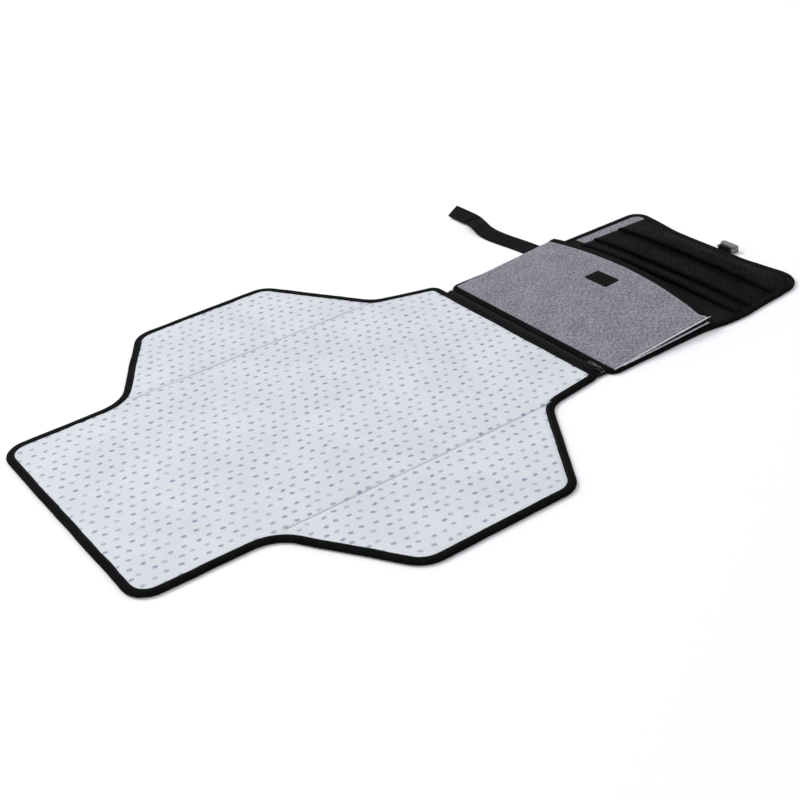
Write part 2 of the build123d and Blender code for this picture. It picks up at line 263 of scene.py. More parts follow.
def finish(shape, name, materials, ride_on, nodes, cloth=None, mask=None, flat=None):
    """Makes a soft piece, hands it to ride_on, and hides the CAD nodes it replaces.

    The area, width and length of a cloth grid are worked out, but nothing is done with them. flat is not
    used. A strip under a centimetre wide is below what a sheet can be, so it counts as a slack pad.
    """
    piece = shape.make(name, materials)
    ride_on(piece)
    if nodes:
        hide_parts(*nodes)
    if cloth is not None:
        across, down = np.diff(cloth, axis=1), np.diff(cloth, axis=0)
        cells = np.linalg.norm(np.cross(across[:-1], down[:, :-1]), axis=2)
        area = float(cells.sum() if mask is None else cells[mask].sum()) * MM * MM
        width = float(np.linalg.norm(down, axis=2).sum(0).max()) * MM
        length = float(np.linalg.norm(across, axis=2).sum(1).max()) * MM
        if min(width, length) > 0.01:
            area = min(area, width * length)
    elif flat:
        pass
    else:
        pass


def riding(body):
    return lambda piece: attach(piece, body)


def bending(a, b, axis, start, end):
    """Bakes the piece's transform into its mesh; it neither rides on the fold's two bodies nor bends between
    the two places.
    """
    ends = np.zeros((2, 3))
    ends[:, axis] = start * MM, end * MM
    return lambda piece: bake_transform(piece)


on_base, on_flap = riding("base"), riding("flap")
foot_bend = bending("foot", "middle", X, fold_one - strip, fold_one + strip)
spine_bend = bending("base", "flap", X, flap_hinge - spine, flap_hinge + spine)


# ---- outlines
def rounded_loop(corners, step=2.5):
    """A closed outline through the corners, each rounded by its own radius, as evenly spaced points."""
    points = []
    for i, (corner, radius) in enumerate(corners):
        here = np.array(corner, float)
        back, ahead = unit(corners[i - 1][0] - here), unit(corners[(i + 1) % len(corners)][0] - here)
        half = math.acos(back @ ahead) / 2
        centre = here + unit(back + ahead) * radius / math.sin(half)
        start, end = (here + way * radius / math.tan(half) - centre for way in (back, ahead))
        turn = math.pi - 2 * half
        for share in np.linspace(0, 1, 12):
            a, b = math.sin((1 - share) * turn), math.sin(share * turn)
            points.append(centre + (a * start + b * end) / math.sin(turn))
    points = np.array(points + points[:1])
    places = lengths_along(points)
    spaced = np.linspace(0, places[-1], int(places[-1] / step), endpoint=False)
    return np.stack([np.interp(spaced, places, points[:, k]) for k in (X, Y)], 1)


def inward(path, closed=False):
    """Unit normals of a line of points, to the left of its travel."""
    ahead = np.roll(path, -1, 0) - np.roll(path, 1, 0)
    if not closed:
        ahead[0] = path[1] - path[0]
        ahead[-1] = path[-1] - path[-2]
    ahead = ahead / np.linalg.norm(ahead, axis=1)[:, None]
    return np.stack([-ahead[:, 1], ahead[:, 0]], 1)


def inset(loop, amount):
    return loop + amount * inward(loop, closed=True)


def cut_path(loop, x_low, x_high, side=0):
    """The stretch of a loop with x from x_low to x_high, on the near (-1) or far (1) side or on both."""
    inside = (loop[:, X] > x_low) & (loop[:, X] < x_high)
    if side:
        inside &= loop[:, Y] * side > 0
    start = next(i for i in range(len(loop)) if inside[i] and not inside[i - 1])
    chosen = [start]
    while inside[(chosen[-1] + 1) % len(loop)]:
        chosen.append((chosen[-1] + 1) % len(loop))

    def crossing(a, b):
        limit = x_low if b[X] < a[X] else x_high
        return a + (limit - a[X]) / (b[X] - a[X]) * (b - a)

    last = chosen[-1]
    return np.vstack([crossing(loop[start], loop[start - 1]), loop[chosen],
                      crossing(loop[last], loop[(last + 1) % len(loop)])])


def y_span(loop, x):
    """Lowest and highest y of the outline at x."""
    after = np.roll(loop, -1, 0)
    crossed = (loop[:, X] - x) * (after[:, X] - x) < 0
    a, b = loop[crossed], after[crossed]
    ys = a[:, Y] + (x - a[:, X]) / (b[:, X] - a[:, X]) * (b[:, Y] - a[:, Y])
    return ys.min(), ys.max()


def within(loop, points):
    """Which of the points lie inside the loop."""
    x, y = points[:, :1], points[:, 1:]
    x0, y0 = loop.T
    x1, y1 = np.roll(loop, -1, 0).T
    spans = (y0 > y) != (y1 > y)
    at = x0 + (y - y0) / np.where(spans, y1 - y0, 1) * (x1 - x0)
    return (spans & (x < at)).sum(1) % 2 == 1


def tucked(flat, loop):
    """A grid of (x, y) points with those outside the loop moved onto it, and the mask of the cells left."""
    after = np.roll(loop, -1, 0)
    fine = np.concatenate([loop + share * (after - loop) for share in np.arange(6) / 6])
    points = flat.reshape(-1, 2).copy()
    free = within(loop, points)
    for index in np.flatnonzero(~free):
        points[index] = fine[np.linalg.norm(fine - points[index], axis=1).argmin()]
    free = free.reshape(flat.shape[:2])
    mask = free[1:, 1:] | free[:-1, 1:] | free[1:, :-1] | free[:-1, :-1]
    return points.reshape(flat.shape), mask


def nearest_edge(loop, points):
    """Distance from each point to the loop, and how far along the loop that is."""
    step = np.linalg.norm(loop[1] - loop[0])
    distance = np.linalg.norm(points[:, None, :] - loop[None, :, :], axis=2)
    return distance.min(1), distance.argmin(1) * step


def sewn_edge(corners, seed):
    """The rounded outline with the small waviness of a sewn edge."""
    loop = rounded_loop(corners)
    sway = [0.55 * wave(x, y, 34, seed) + 0.2 * wave(x, y, 13, seed + 1) for x, y in loop]
    return loop + np.array(sway)[:, None] * inward(loop, closed=True)


far_side = [
    ((wing_head_notch, mat_half), 30),
    ((wing_head_tip, wing_reach), 26),
    ((wing_foot_tip, wing_reach), 32),
    ((wing_foot_notch, mat_half), 40),
    ((foot_edge, mat_half), 25),
]
near_side = [((x, -y), radius) for (x, y), radius in reversed(far_side)]
mat_loop = sewn_edge(near_side + [((head_edge, head_near), 12), ((head_edge, head_far), 12)] + far_side, 81.0)
clutch_loop = sewn_edge([
    ((clutch_start, clutch_near), 12),
    ((flap_hinge - 42, clutch_near), 60),
    ((flap_hinge - 12, clutch_near - 5.4), 40),
    ((flap_hinge + 14, clutch_near - 6), 60),
    ((flap_end + 1.2, clutch_near + 4), 30),
    ((flap_end - flap_bow, clutch_near + 85), 150),
    ((flap_end - flap_bow, clutch_far - 84), 150),
    ((flap_end + 3, clutch_far + flap_drift), 18),
    ((flap_hinge, clutch_far + flap_drift + 1), 60),
    ((clutch_start, clutch_far), 12),
], 83.0)
mat_rim = inset(mat_loop, under_tape)
clutch_rim = inset(clutch_loop, under_tape)


# ---- materials
def shade(colour, times):
    return tuple(times * c for c in colour)


class Shader:
    """A material under construction: shorthand for the nodes used here."""

    def __init__(self, name, colour, roughness, sheen=0.0, specular=0.5, **sockets):
        self.material = bpy.data.materials.new(name)
        self.material.use_nodes = True
        self.tree = self.material.node_tree
        self.bsdf = self.tree.nodes["Principled BSDF"]
        sockets.update(Base_Color=(*colour, 1), Roughness=roughness, Sheen_Weight=sheen,
                       Specular_IOR_Level=specular)
        for socket, value in sockets.items():
            self.bsdf.inputs[socket.replace("_", " ")].default_value = value

    def node(self, kind, inputs=(), **settings):
        made = self.tree.nodes.new("ShaderNode" + kind)
        for key, value in settings.items():
            setattr(made, key, value)
        for key, value in dict(inputs).items():
            if isinstance(value, bpy.types.NodeSocket):
                self.tree.links.new(value, made.inputs[key])
            else:
                made.inputs[key].default_value = value
        return made

    def math(self, operation, a, b=0.0, c=0.0):
        return self.node("Math", {0: a, 1: b, 2: c}, operation=operation).outputs[0]

    def plus(self, a, times, more):
        """a * times + more."""
        return self.math("MULTIPLY_ADD", a, times, more)

    def vector(self, operation, a, b=(0, 0, 0)):
        made = self.node("VectorMath", {0: a, 1: b}, operation=operation)
        return made.outputs["Value" if operation == "LENGTH" else "Vector"]

    def turn(self, vector, angle):
        made = self.node("VectorRotate", {"Vector": vector, "Angle": angle}, rotation_type="Z_AXIS")
        return made.outputs[0]

    def cloth(self, scale_u, scale_v=None):
        """Coordinates along the cloth in metres, multiplied by the two scales."""
        uv = self.node("UVMap", uv_map="cloth").outputs["UV"]
        return self.vector("MULTIPLY", uv, (scale_u, scale_v or scale_u, 1))

    def weave(self, pitch):
        """Coordinates along the cloth, one unit to each pitch in millimetres."""
        return self.cloth(1 / (pitch * MM))

    def solid(self, scale):
        """Coordinates in the piece's own space, multiplied by scale."""
        return self.vector("MULTIPLY", self.node("TexCoord").outputs["Object"], (scale, scale, scale))

    def noise(self, vector, detail=2.0):
        return self.node("TexNoise", {"Vector": vector, "Scale": 1.0, "Detail": detail}).outputs[0]

    def ridges(self, vector, axis, sharpness=1.0):
        """A sine from 0 to 1 along one axis, one ridge to each unit."""
        split = self.node("SeparateXYZ", {0: vector}).outputs[axis]
        turned = self.math("MULTIPLY", split, math.tau)
        return self.math("POWER", self.plus(self.math("SINE", turned), 0.5, 0.5), sharpness)

    def between(self, value, low_value, high_value):
        """0 below low_value, 1 above high_value, smooth between."""
        inputs = {"Value": value, "From Min": low_value, "From Max": high_value}
        return self.node("MapRange", inputs, interpolation_type="SMOOTHSTEP").outputs[0]

    def mix(self, factor, *colours):
        a, b = [c if isinstance(c, bpy.types.NodeSocket) else (*c, 1) for c in colours]
        return self.node("Mix", {0: factor, 6: a, 7: b}, data_type="RGBA").outputs[2]

    def finish(self, colour, roughness, height, distance, strength=1.0):
        """Links colour, roughness and bump, the bump's distance in millimetres, and gives the material."""
        inputs = {"Height": height, "Distance": distance * MM, "Strength": strength}
        normal = self.node("Bump", inputs).outputs[0]
        for socket, value in (("Base Color", colour), ("Roughness", roughness), ("Normal", normal)):
            self.tree.links.new(value, self.bsdf.inputs[socket])
        return self.material


def printed_cover():
    """Pale film fabric with a staggered, slightly uneven print of small blue-grey dashes."""
    s = Shader("printed_cover", (0.62, 0.65, 0.69), 0.42, 0.05, 0.4)
    pitch_u, pitch_v = 12.6, 12.2
    half_long, half_wide = 2.6, 1.9
    parts = s.node("SeparateXYZ", {0: s.cloth(1 / (pitch_u * MM), 1 / (pitch_v * MM))})
    along = s.plus(parts.outputs[Y], 0.5, parts.outputs[X])
    across = s.plus(s.noise(s.cloth(22), 1.0), 0.5, parts.outputs[Y])
    staggered = s.node("CombineXYZ", {0: along, 1: across}).outputs[0]
    spots = s.node("TexVoronoi", {"Vector": staggered, "Scale": 1.0, "Randomness": 0.3},
                   voronoi_dimensions="2D")
    away = s.node("SeparateXYZ", {0: s.vector("SUBTRACT", staggered, spots.outputs["Position"])})
    upright = s.plus(away.outputs[Y], -0.5, away.outputs[X])
    square = s.node("CombineXYZ", {0: upright, 1: away.outputs[Y]}).outputs[0]
    random = s.node("SeparateColor", {0: spots.outputs["Color"]})
    lean = s.plus(random.outputs[1], 0.9, math.radians(8) - 0.45)
    dash = s.vector("MULTIPLY", s.turn(square, lean), (pitch_u / half_long, pitch_v / half_wide, 0))
    reach = s.math("SQRT", s.vector("LENGTH", s.vector("MULTIPLY", dash, dash)))
    ragged = s.plus(s.noise(s.cloth(700), 1.0), 0.7, reach)
    inked = s.math("SUBTRACT", 1.0, s.between(ragged, 0.95, 1.6))
    printed = s.math("MULTIPLY", inked, s.plus(random.outputs[0], 0.5, 0.5))
    cloud = s.noise(s.cloth(14), 3.0)
    ground = s.mix(s.between(cloud, 0.3, 0.7), (0.592, 0.612, 0.652), (0.645, 0.665, 0.702))
    weave = s.weave(0.7)
    threads = s.math("ADD", s.ridges(weave, X), s.ridges(weave, Y))
    shaded = s.mix(s.math("MULTIPLY", threads, 0.05), ground, (0.45, 0.48, 0.54))
    colour = s.mix(printed, shaded, (0.224, 0.262, 0.372))
    creases = s.noise(s.cloth(70, 110), 3.0)
    return s.finish(colour, s.plus(cloud, 0.18, 0.34), s.plus(creases, 5.0, threads), 0.09, 0.8)


def ribbed_tape(name, colour, rib, roughness=0.75, depth=0.12):
    """Woven tape with fine ribs across its length, the rib crests painted lighter in patches as highlights.
    """
    s = Shader(name, colour, roughness, 0.01, 0.035, Sheen_Roughness=0.4)
    ribs = s.ridges(s.weave(rib), X)
    fuzz = s.noise(s.cloth(2500))
    # painted highlight: patches where the rib crests are lighter
    rib_glint_patch = s.between(s.noise(s.cloth(60), 3.0), 0.35, 0.75)
    mixed = s.mix(s.math("MULTIPLY", ribs, rib_glint_patch), colour, shade(colour, 3))
    return s.finish(mixed, s.plus(fuzz, 0.2, roughness - 0.1), s.plus(fuzz, 0.6, ribs), depth)


def heather(name="heather_fabric", dark=(0.085, 0.084, 0.103), pale=(0.295, 0.293, 0.335)):
    """Melange weave: pale and dark yarns that run both ways, in short streaks."""
    s = Shader(name, (0.27, 0.27, 0.31), 0.88, 0.08, 0.2)
    warp = s.noise(s.cloth(230, 950), 3.0)
    weft = s.noise(s.cloth(950, 270), 3.0)
    cloud = s.math("MULTIPLY", s.noise(s.cloth(40)), 0.12)
    blend = s.plus(s.math("ADD", warp, weft), 0.5, cloud)
    colour = s.mix(s.between(blend, 0.44, 0.68), dark, pale)
    weave = s.weave(0.95)
    over = s.math("MULTIPLY", s.ridges(weave, X), warp)
    under = s.math("MULTIPLY", s.ridges(weave, Y), weft)
    return s.finish(colour, s.plus(warp, 0.2, 0.78), s.math("MAXIMUM", over, under), 0.22)


def plain_weave(name, colour, pitch, roughness=0.7):
    """Plain woven bag cloth, the thread crests painted lighter in patches as sheen."""
    s = Shader(name, colour, roughness, 0.02, 0.08)
    weave = s.weave(pitch)
    both = s.math("MAXIMUM", s.ridges(weave, X), s.ridges(weave, Y))
    # painted sheen: patches where the thread crests are lighter; the same patches make the cloth a little
    # rougher
    sheen_patch = s.between(s.noise(s.cloth(35), 3.0), 0.3, 0.7)
    mixed = s.mix(s.math("MULTIPLY", both, sheen_patch), colour, shade(colour, 2.2))
    return s.finish(mixed, s.plus(sheen_patch, 0.15, roughness), both, 0.15)


def knitted_mesh():
    """Black knit with slanting ribs and small dark holes between them, the yarn painted lighter in patches as
    sheen.
    """
    s = Shader("mesh", (0.006, 0.006, 0.0065), 0.62, specular=0.03)
    rib_pitch, loop_pitch = 2.4, 1.3
    slant = s.turn(s.weave(1), math.radians(45))
    coarse = s.vector("MULTIPLY", slant, (1 / rib_pitch, 1 / loop_pitch, 1))
    loops = s.plus(s.ridges(coarse, Y), 0.55, 0.45)
    yarn = s.math("MULTIPLY", s.ridges(coarse, X, 2.0), loops)
    # painted sheen: patches where the yarn is lighter
    sheen_patch = s.between(s.noise(s.cloth(28), 3.0), 0.3, 0.65)
    lit = s.math("MULTIPLY", yarn, s.plus(sheen_patch, 0.8, 0.2))
    colour = s.mix(lit, (0.0005, 0.0005, 0.0006), (0.024, 0.024, 0.026))
    return s.finish(colour, s.plus(yarn, -0.25, 0.75), yarn, 0.45)


def pile(name, colour):
    """Hook and loop tape: a dense uneven pile."""
    s = Shader(name, colour, 0.95, 0.02, 0.05)
    tufts = s.node("TexVoronoi", {"Vector": s.cloth(900), "Scale": 1.0}).outputs["Distance"]
    fuzz = s.noise(s.cloth(1500), 4.0)
    mixed = s.mix(fuzz, shade(colour, 0.5), shade(colour, 2.2))
    return s.finish(mixed, s.plus(tufts, 0.1, 0.86), s.math("ADD", tufts, fuzz), 0.5)


def moulded_plastic(name, colour, roughness=0.42):
    """Moulded plastic with a fine spark-eroded grain and slightly duller, scuffed patches."""
    s = Shader(name, colour, roughness, specular=0.4)
    scuff = s.noise(s.solid(220), 4.0)
    mixed = s.mix(s.between(scuff, 0.45, 0.75), colour, shade(colour, 1.7))
    return s.finish(mixed, s.plus(scuff, 0.35, roughness - 0.17), s.noise(s.solid(2600)), 0.06, 0.6)


def dark_metal():
    """Dark nickel, lightly brushed, brighter where it is rubbed."""
    s = Shader("zipper_metal", (0.12, 0.12, 0.125), 0.35, Metallic=1.0)
    rub = s.noise(s.solid(400), 4.0)
    colour = s.mix(s.between(rub, 0.4, 0.7), (0.04, 0.04, 0.043), (0.15, 0.15, 0.155))
    return s.finish(colour, s.plus(rub, 0.3, 0.22), s.noise(s.solid(3000)), 0.02, 0.5)


def thread(name, colour):
    """Twisted sewing thread."""
    s = Shader(name, colour, 0.6, 0.05, 0.2)
    strand = s.ridges(s.turn(s.cloth(1400), 0.7), X)
    return s.finish(s.mix(strand, shade(colour, 0.7), colour), s.plus(strand, 0.15, 0.5), strand, 0.08)


PRINT = printed_cover()
BINDING = ribbed_tape("black_binding", (0.0019, 0.0019, 0.0022), 0.9)
ELASTIC = ribbed_tape("elastic", (0.0016, 0.0016, 0.0018), 1.3, 0.8, 0.2)
WEBBING = ribbed_tape("webbing", (0.0028, 0.0028, 0.0031), 1.5, 0.65, 0.3)
HEATHER = heather()
# a paler copy of the heather, painted along the pockets' near edges as the highlight on their fold
PALE_EDGE_HIGHLIGHT = heather("pale_edge_highlight", (0.40, 0.40, 0.43), (0.62, 0.62, 0.66))
BACKING = plain_weave("backing_fabric", (0.008, 0.008, 0.009), 1.1)
DARK = plain_weave("dark_fabric", (0.0022, 0.0022, 0.0025), 0.7, 0.8)
MESH = knitted_mesh()
HOOK = pile("hook_and_loop", (0.0022, 0.0022, 0.0022))
NYLON = moulded_plastic("zipper_nylon", (0.012, 0.012, 0.013), 0.4)
METAL = dark_metal()
PLASTIC = moulded_plastic("buckle_plastic", (0.13, 0.13, 0.134), 0.42)
BLACK_THREAD = thread("black_thread", (0.008, 0.008, 0.009))
SEAM_THREAD = thread("seam_thread", (0.30, 0.32, 0.37))
ZIP_THREAD = thread("zip_thread", (0.05, 0.05, 0.055))
PALE_THREAD = thread("pale_thread", (0.46, 0.46, 0.5))


# ---- panels
def cover_height(x, y, edge, along):
    """Top of the padded cover: gently uneven, drawn down at the wing seams and the head crease."""
    height = cover_top + 0.22 * wave(x, y, 48) + 0.14 * wave(x, y, 17, 3.0)
    height += 0.18 * wave(x * 0.45 + y * 0.3, y, 26, 7.0)
    crease = (x - fold_two - 6 * wave(y, 0, 60, 1.0)) / 7
    height += 0.30 * math.exp(-((crease - 1.4) ** 2)) - 0.38 * math.exp(-(crease**2))
    height += 0.30 * wave(along, 0, 6.5, 5.0) * math.exp(-max(0.0, edge - 9) / 7)
    if fold_one + strip < x < wing_end:
        seam = abs(y) - wing_seam
        height -= 0.95 * math.exp(-((seam / 1.2) ** 2)) + 0.25 * math.exp(-((seam / 5) ** 2))
        height += 0.16 * wave(x, 0, 7, 9.0) * math.exp(-((seam / 6) ** 2))
    return min(height, cover_top + 0.55)


def lining_height(x, y, edge, along):
    return cover_top + 0.2 * wave(x, y, 40, 11.0) + 0.12 * wave(x, y, 14, 12.0)


def grid_rows(xs, columns_at):
    """A grid of (x, y) points: one row for each x, with the columns that columns_at(x) gives."""
    return np.array([[(x, y) for y in columns_at(x)] for x in xs], float)


def lift(flat, heights):
    """Adds heights, or one height, to a grid of (x, y) points."""
    size = flat.shape[:2]
    return np.dstack([flat, np.reshape(heights, size) if np.ndim(heights) else np.full(size, heights)])


def pad_and_sheet(prefix, words, flat, loop, ride_on, top_height, sway, pad_slots, sheet_slots, mask=None,
                  seam=None, wall=0):
    """A pad from the foam's underside up, drawn down at its tape, and the sheet under it.

    words name the three CAD layers. sway is the height and size of the sheet's unevenness.
    """
    edge, along = nearest_edge(loop, flat.reshape(-1, 2))
    places = [(x, y, e, a) for (x, y), e, a in zip(flat.reshape(-1, 2), edge, along)]
    top = lift(flat, [top_height(*p) - 0.75 * ease((11.5 - p[2]) / 5) for p in places])
    floor = lift(flat, [0.08 + 0.42 * ease((10 - e) / 1.5) + sway[0] * wave(x, y, sway[1], 2.0)
                        for x, y, e, _ in places])
    pad = Shape().slab(top, lift(flat, foam_bottom), mask=mask, wall=wall)
    sheet = Shape().slab(lift(flat, foam_bottom - 0.04), floor, mask=mask)
    if seam:
        pad.stitch_row(seam, 3.4, 0.24)
    if HEATHER in pad_slots:
        pad.paint(1, lambda middle: middle[Y] <= mesh_far - 1)
    sheet.paint(len(sheet_slots) - 1, lambda middle: abs(middle[X] - flap_hinge) < spine)
    upper, inside, under = (f"{prefix}_{word}" for word in words)
    finish(pad, f"{upper}_pad", pad_slots, ride_on, [upper, inside])
    finish(sheet, f"{under}_sheet", sheet_slots, ride_on, [under], floor, mask)


def mat_panel(prefix, flat, ride_on, mask=None, seam=None):
    pad_and_sheet(prefix, ("cover", "foam", "backing"), flat, mat_loop, ride_on, cover_height, (0.05, 15),
                  [PRINT, SEAM_THREAD, BACKING], [BACKING], mask, seam, wall=2)


def build_mat_panels():
    foot_xs = stepped(foot_edge + under_tape + 0.05, 2.0, foot_edge + 30, cell, fold_one - strip, 1.2,
                      fold_one + strip)
    mat_panel("foot", grid_rows(foot_xs, lambda x: np.linspace(*y_span(mat_rim, x), 91)), foot_bend)
    middle_xs = stepped(fold_one + strip, cell, fold_two - strip, 1.2, fold_two + strip)
    mat_panel("middle", grid_rows(middle_xs, lambda x: even(-inner, inner, cell)),
              bending("middle", "head", X, fold_two - strip, fold_two + strip))

    # the head panel is wider beyond the wings
    def head_columns(x):
        y_low, y_high = y_span(mat_rim, max(x, wing_end + 0.5))
        near, far = max(-inner, y_low + 1), min(inner, y_high - 1)
        parts = np.linspace(y_low, near, 4), np.linspace(near, far, 84)[1:], np.linspace(far, y_high, 4)[1:]
        return np.concatenate(parts)

    head_xs = stepped(fold_two + strip, cell, wing_end, 2.6, head_edge - under_tape - 0.05)
    flat = grid_rows(head_xs, head_columns)
    mask = np.ones((flat.shape[0] - 1, flat.shape[1] - 1), bool)
    mask[np.ix_(head_xs[:-1] < wing_end - 0.01, [0, 1, 2, -3, -2, -1])] = False
    mat_panel("head", flat, riding("head"), mask)

    for side_name, side in (("near", -1), ("far", 1)):

        def columns(x):
            reach = abs(y_span(mat_rim, x)[0])
            zone = min(wing_seam + 7, reach - 1.5)
            return side * np.concatenate([np.linspace(inner, zone, 25), np.linspace(zone, reach, 38)[1:]])

        for body, x_low, x_high in (("middle", fold_one + strip, fold_two - hairline),
                                    ("head", fold_two + hairline, wing_end)):
            prefix = f"{side_name}_wing_{body}"
            seam_xs = even(x_low + 0.5, min(x_high - 0.5, wing_end - 8), 6)
            fold = bending(body, prefix, Y, side * (wing_seam - wing_bend), side * (wing_seam + wing_bend))
            mat_panel(prefix, grid_rows(even(x_low, x_high, cell), columns), fold,
                      seam=[(x, side * wing_seam, cover_top - 0.95) for x in seam_xs])


# ---- binding tape
# section of the folded tape: distance in from the edge, and height
TAPE_SECTION = [
    (8.2, 4.0), (7.6, 4.33), (5.7, 4.66), (3.5, 4.74), (1.6, 4.42), (0.35, 3.7), (-0.25, 2.5),
    (0.0, 1.3), (0.8, 0.45), (2.4, 0.06), (5.5, 0.0), (7.9, 0.06),
    (7.8, 0.42), (5.5, 0.42), (2.2, 0.7), (1.2, 2.2), (1.8, 3.6), (4.0, 4.05), (6.6, 3.88), (7.9, 3.62),
]


def bind(name, path, nodes, ride_on, y_limits=None, stitched=True):
    """Binding tape along a stretch of outline, kept between two limits of y."""
    rings, along, seam = [], [], []
    for point, normal, where in zip(path, inward(path), lengths_along(path)):
        spread = 1 + 0.045 * wave(point[X] * 1.1, point[Y] * 1.1, 22, 4.0)
        puff = 0.11 * wave(point[X], point[Y], 9, 6.0)
        ring = np.array([(*(point + normal * depth * spread), height + (puff if height > 2 else 0))
                         for depth, height in TAPE_SECTION])
        if y_limits:
            ring[:, Y] = np.clip(ring[:, Y], *y_limits)
            if np.ptp(ring[:, Y]) < 1.2:
                continue
        rings.append(ring)
        along.append(where)
        seam.append((*(point + normal * 6.4 * spread), 4.62 + puff))
    if len(rings) < 2:
        return
    shape = Shape().sweep(rings, along)
    if stitched:
        shape.stitch_row(seam)
    finish(shape, name, [BINDING, BLACK_THREAD], ride_on, nodes)


def build_mat_binding():
    bind("foot_binding_tape", cut_path(mat_loop, -far_away, fold_one - strip), ["foot_binding"],
         riding("foot"))
    bind("head_binding_tape", cut_path(mat_loop, wing_end + 2 * hairline, far_away), ["head_binding"],
         riding("head"))
    sides = ("near", -1), ("far", 1)
    for side_name, side in sides:
        path = cut_path(mat_loop, fold_one - strip, fold_one + strip, side)
        bind(f"foot_fold_{side_name}_tape", path, [], foot_bend)
    for side_name, side in sides:
        for body, x_low, x_high in (("middle", fold_one + strip + hairline, fold_two - hairline),
                                    ("head", fold_two + hairline, wing_end)):
            path = cut_path(mat_loop, x_low, x_high, side)
            prefix = f"{side_name}_wing_{body}"
            limits = sorted([side * far_away, side * (wing_seam + 0.05)])
            bind(f"{prefix}_binding_tape", path, [f"{prefix}_binding"], riding(prefix), limits)
            # the part of the tape at the wing's notch that lies inside the wing's fold line
            kept = [p for p, n in zip(path, inward(path)) if abs((p + n * tape_width)[Y]) < wing_seam - 1.2]
            if len(kept) > 3:
                limits = sorted([0, side * (wing_seam - 0.05)])
                bind(f"{prefix}_notch_tape", np.array(kept), [], riding(body), limits, stitched=False)


# ---- clutch base and flap
def clutch_pads():
    base_xs = stepped(clutch_start + under_tape + 0.05, 4, flap_hinge - spine, 0.8, flap_hinge + spine)
    base_grid = grid_rows(base_xs, lambda x: np.linspace(*y_span(clutch_rim, x), 71))
    flap_ys = even(clutch_near - 7, clutch_far, 3.8)
    flap_grid = grid_rows(even(flap_hinge + spine, flap_end + 4, 3.8), lambda x: flap_ys)
    for prefix, (flat, mask), lining, ride_on in (
        ("base", (base_grid, None), DARK, spine_bend),
        ("flap", tucked(flap_grid, clutch_rim), HEATHER, on_flap),
    ):
        pad_and_sheet(prefix, ("lining", "board", "shell"), flat, clutch_loop, ride_on, lining_height,
                      (0.06, 18), [lining, DARK], [HEATHER, BACKING], mask)


def clutch_binding():
    start, end = flap_hinge - spine, flap_hinge + spine
    bind("base_binding_tape", cut_path(clutch_loop, -far_away, start), ["base_binding"], on_base)
    bind("flap_binding_tape", cut_path(clutch_loop, end, far_away), ["flap_binding"], riding("flap"))
    for side_name, side in (("near", -1), ("far", 1)):
        path = cut_path(clutch_loop, start, end, side)
        order = np.argsort(path[:, X])
        fine = np.linspace(path[0], path[-1], 26)
        fine[:, Y] = np.interp(fine[:, X], path[order, X], path[order, Y])
        bind(f"spine_{side_name}_tape", fine, [], spine_bend)


# ---- front pocket
pocket_start = low("pocket_front", X)
pocket_near, pocket_far = span("pocket_front", Y)
mouth_curve = np.polyfit([pocket_near, (pocket_near + pocket_far) / 2, pocket_far],
                         [flap_hinge - 31, flap_hinge - 14, flap_hinge - 19], 2)
pocket_floor = panel + 0.35
pocket_cloth = 1.0
pocket_crest = -20  # y where the pocket stands highest


def mouth_x(y):
    return float(np.polyval(mouth_curve, y))


def pocket_point(u, y, up=0.0):
    """The front pocket's top at share u of the way from its closed end to its mouth."""
    x = pocket_start + u * (mouth_x(y) - pocket_start)
    reach, drop = (129, 5.6) if y < pocket_crest else (132, 6.2)
    across = (y - pocket_crest) / reach
    mouth_height = 19.8 - drop * across * across
    share = u + 0.95 * (1 - across**4) * u * (1 - u)
    rumple = (0.45 * wave(x, y, 42, 21.0) + 0.22 * wave(x, y, 16, 22.0)) * min(1, 4 * u)
    return np.array((x, y, pocket_floor + (mouth_height - pocket_floor) * share + rumple + up))


def front_pocket():
    ys = np.concatenate([[pocket_near, pocket_near + 1.0], even(pocket_near + 2.2, pocket_far, 3.2)])
    hem = 0.35
    top = np.array([[pocket_point(u, y, hem * ease((pocket_near + 6.5 - y) / 1.2)) for y in ys]
                    for u in np.linspace(0, 1, 50)])
    shape = Shape().slab(top, top - (0, 0, pocket_cloth))
    # the strip along the near edge gets the paler heather: a painted highlight on the fold
    shape.paint(2, lambda middle: middle[Y] < pocket_near + 1.1)
    depths = np.array([mouth_x(y) - pocket_start for y in ys])
    near_row = [pocket_point(u, pocket_near + 4.6, hem + 0.12) for u in np.linspace(0.03, 0.93, 60)]
    mouth_row = [pocket_point(1 - 10.5 / depth, y, 0.12) for depth, y in zip(depths[2:-1], ys[2:-1])]
    for row in (near_row, mouth_row):
        shape.stitch_row(row, 3, 0.25)
    finish(shape, "front_pocket_panel", [HEATHER, PALE_THREAD, PALE_EDGE_HIGHLIGHT], on_base, ["pocket_front"],
           flat=(depths.mean() + 3, pocket_far - pocket_near + 3))


